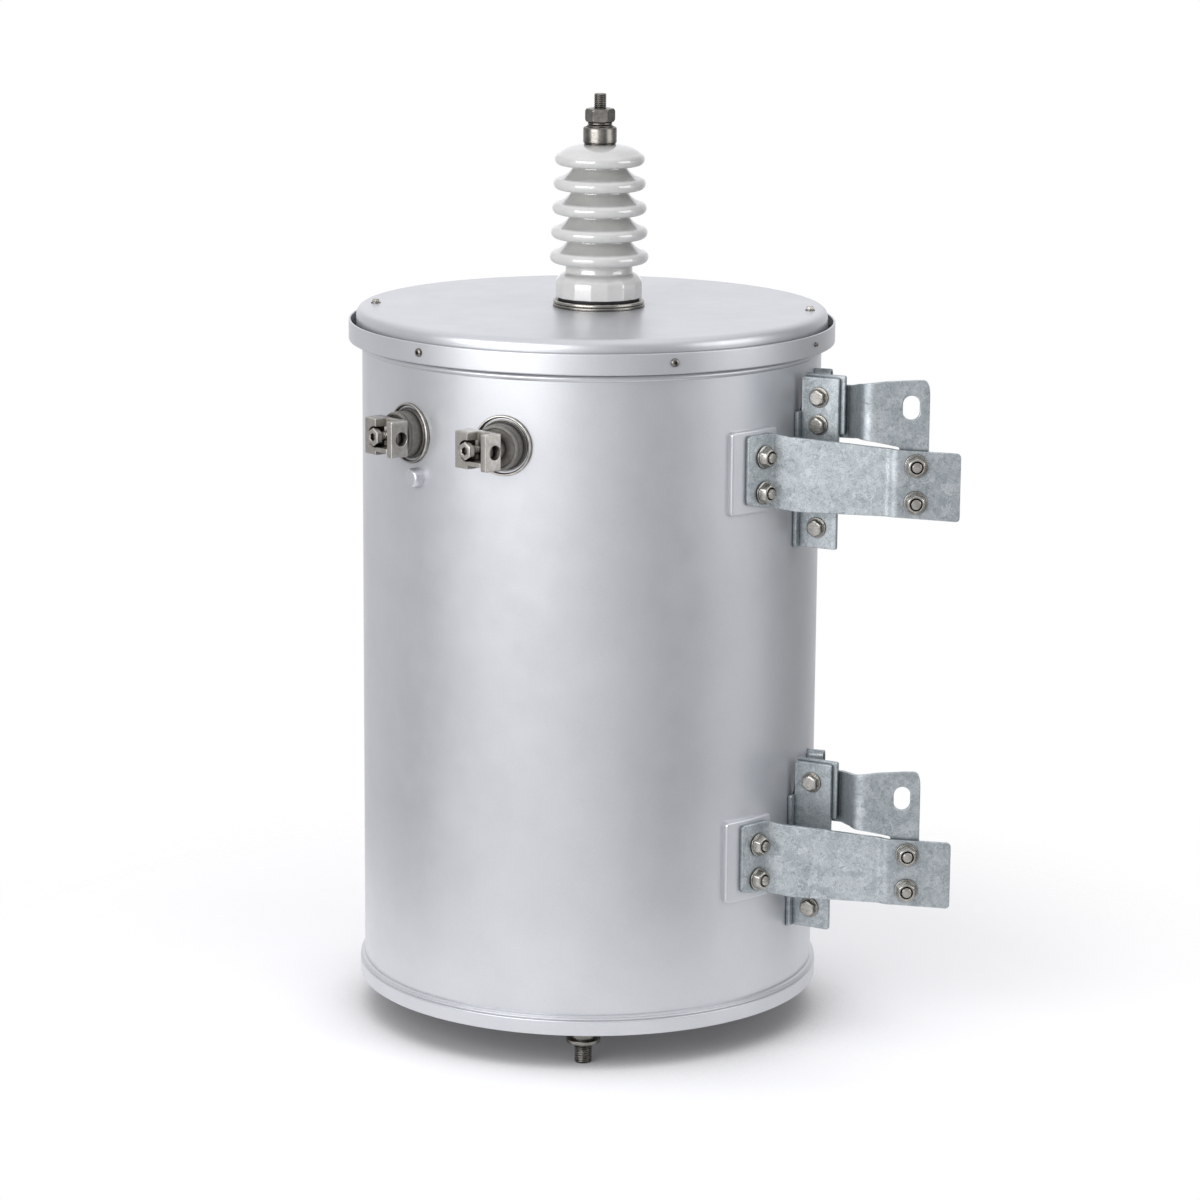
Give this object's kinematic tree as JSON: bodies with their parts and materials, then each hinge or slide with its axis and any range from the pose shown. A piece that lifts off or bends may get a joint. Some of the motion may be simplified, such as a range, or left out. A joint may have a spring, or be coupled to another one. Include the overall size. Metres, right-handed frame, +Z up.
{
  "type": "pole mounted transformer",
  "caption": "Round oil-filled distribution transformer with one high voltage bushing on a clamped cover, low voltage clamps in the wall and two hanger brackets for a pole.",
  "frame": {"origin": "on the pole side of the upper hanger arm's flat, 35 mm inward of the slot at the height of its centre", "axes": "+Z up along the tank, +Y out of the hanger flats into the pole, +X away from the tank along the hangers; the side with the low voltage bushings faces -Y"},
  "size_m": [0.9117, 0.7729, 1.4221],
  "materials": {
    "tank_paint": "semi-gloss light grey enamel over steel",
    "gasket_rubber": "matte black nitrile",
    "porcelain": "glossy light grey glaze",
    "stainless_steel": "turned, lightly brushed",
    "tinned_bronze": "tin-plated bronze, satin",
    "sleeve_resin": "moulded grey-brown resin",
    "galvanised_steel": "hot-dip galvanised, spangled"
  },
  "bodies": {
    "root": {"tank_body": "tank_paint", "base_ring": "tank_paint", "top_rim": "tank_paint", "cover_gasket": "gasket_rubber", "cover": "tank_paint", "clamp_band": "tank_paint", "clamp_band_screws": "stainless_steel", "cover_bolts": "stainless_steel", "relief_plug": "tank_paint", "base_stud": "stainless_steel", "hv_base_ring": "stainless_steel", "hv_gasket": "gasket_rubber", "hv_porcelain": "porcelain", "hv_collar": "stainless_steel", "hv_washers": "stainless_steel", "hv_nut": "stainless_steel", "hv_stud": "stainless_steel", "lv1_ring": "tinned_bronze", "lv1_sleeve": "sleeve_resin", "lv1_terminal": "tinned_bronze", "lv1_clamp_plate": "tinned_bronze", "lv1_screw": "tinned_bronze", "lv2_ring": "tinned_bronze", "lv2_sleeve": "sleeve_resin", "lv2_terminal": "tinned_bronze", "lv2_clamp_plate": "tinned_bronze", "lv2_screw": "tinned_bronze", "upper_pad": "tank_paint", "upper_strap": "galvanised_steel", "upper_bar": "galvanised_steel", "upper_backing_plate": "galvanised_steel", "upper_arm": "galvanised_steel", "upper_clip": "galvanised_steel", "upper_pad_nuts": "stainless_steel", "upper_bar_bolts": "stainless_steel", "upper_arm_nuts": "stainless_steel", "lower_pad": "tank_paint", "lower_strap": "galvanised_steel", "lower_bar": "galvanised_steel", "lower_backing_plate": "galvanised_steel", "lower_arm": "galvanised_steel", "lower_clip": "galvanised_steel", "lower_pad_nuts": "stainless_steel", "lower_bar_bolts": "stainless_steel", "lower_arm_nuts": "stainless_steel"}
  },
  "joints": []
}
